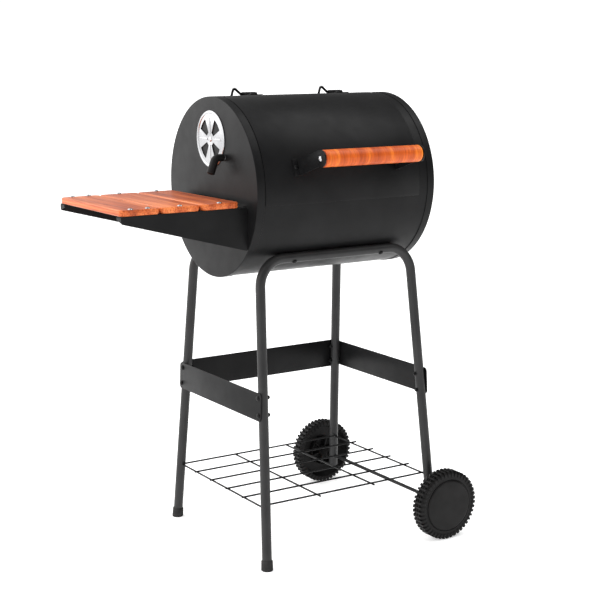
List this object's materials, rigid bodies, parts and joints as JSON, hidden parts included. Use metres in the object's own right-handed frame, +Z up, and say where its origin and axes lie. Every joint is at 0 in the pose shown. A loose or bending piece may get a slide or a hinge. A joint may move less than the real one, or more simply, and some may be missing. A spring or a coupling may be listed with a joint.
{
  "type": "barrel charcoal grill",
  "caption": "Barrel charcoal grill with a hinged lid panel, a slatted wooden side shelf, a round air damper, a tube stand, a wire bottom rack and a wheel pair.",
  "frame": {"origin": "on the floor, under the middle of the closed grill's bounding box", "axes": "+Z up, +X along the drum from the shelf end to the wheel end, front (lid handle side) towards -Y"},
  "size_m": [0.7984, 0.5558, 0.9961],
  "materials": {
    "black_paint": "satin black heat-proof paint",
    "chrome": "bright chrome plate",
    "zinc_steel": "zinc-plated steel",
    "shelf_wood": "red-orange stained wood, semi-gloss varnish",
    "grip_wood": "orange stained wood, semi-gloss varnish",
    "black_plastic": "moulded black plastic, matt",
    "black_rubber": "matt black rubber",
    "grate_steel": "dark oiled steel wire"
  },
  "bodies": {
    "drum_and_stand": {"axle": "black_paint", "barrel_shell": "black_paint", "bottom_rack": "black_paint", "charcoal_grate": "grate_steel", "cooking_grate": "grate_steel", "damper_rivet": "zinc_steel", "front_foot": "black_rubber", "front_grate_rail": "black_paint", "front_left_drum_bolt": "black_paint", "front_leg_frame": "black_paint", "front_right_drum_bolt": "black_paint", "front_shelf_bracket": "black_paint", "front_shelf_screw_1": "chrome", "front_shelf_screw_2": "chrome", "front_shelf_screw_3": "chrome", "front_shelf_screw_4": "chrome", "inner_shelf_board": "shelf_wood", "left_brace": "black_paint", "left_end_cap": "black_paint", "left_front_lower_brace_bolt": "black_paint", "left_front_upper_brace_bolt": "black_paint", "left_hinge_drum_leaf": "black_paint", "left_rear_lower_brace_bolt": "black_paint", "left_rear_upper_brace_bolt": "black_paint", "middle_shelf_board": "shelf_wood", "outer_shelf_board": "shelf_wood", "rear_brace": "black_paint", "rear_foot": "black_rubber", "rear_grate_rail": "black_paint", "rear_left_drum_bolt": "black_paint", "rear_leg_frame": "black_paint", "rear_right_drum_bolt": "black_paint", "rear_shelf_bracket": "black_paint", "rear_shelf_screw_1": "chrome", "rear_shelf_screw_2": "chrome", "rear_shelf_screw_3": "chrome", "rear_shelf_screw_4": "chrome", "right_brace": "black_paint", "right_end_cap": "black_paint", "right_front_lower_brace_bolt": "black_paint", "right_front_upper_brace_bolt": "black_paint", "right_hinge_drum_leaf": "black_paint", "right_rear_lower_brace_bolt": "black_paint", "right_rear_upper_brace_bolt": "black_paint"},
    "lid": {"handle_grip": "grip_wood", "left_handle_arm": "black_paint", "left_handle_bolt": "zinc_steel", "left_hinge_lid_leaf": "black_paint", "left_hinge_pin": "black_paint", "lid_panel": "black_paint", "right_handle_arm": "black_paint", "right_handle_bolt": "zinc_steel", "right_hinge_lid_leaf": "black_paint", "right_hinge_pin": "black_paint"},
    "damper": {"damper_plate": "chrome", "damper_lever": "black_plastic"},
    "front_wheel_set": {"front_wheel": "black_plastic", "front_hub_cap": "black_plastic"},
    "rear_wheel_set": {"rear_wheel": "black_plastic", "rear_hub_cap": "black_plastic"}
  },
  "joints": [
    {"name": "lid_hinge", "type": "hinge", "parent": "drum_and_stand", "child": "lid", "pos_m": [0.10577, 0.05955, 0.9815], "axis": [-1, 0, 0], "range_deg": [0, 120]},
    {"name": "damper_turn", "type": "hinge", "parent": "drum_and_stand", "child": "damper", "pos_m": [-0.11748, 0.00955, 0.892], "axis": [-1, 0, 0], "range_deg": [0, 45]},
    {"name": "front_wheel_spin", "type": "hinge", "parent": "drum_and_stand", "child": "front_wheel_set", "pos_m": [0.32123, -0.22365, 0.078], "axis": [0, 1, 0], "continuous": true},
    {"name": "rear_wheel_spin", "type": "hinge", "parent": "drum_and_stand", "child": "rear_wheel_set", "pos_m": [0.32123, 0.24275, 0.078], "axis": [0, 1, 0], "continuous": true}
  ]
}
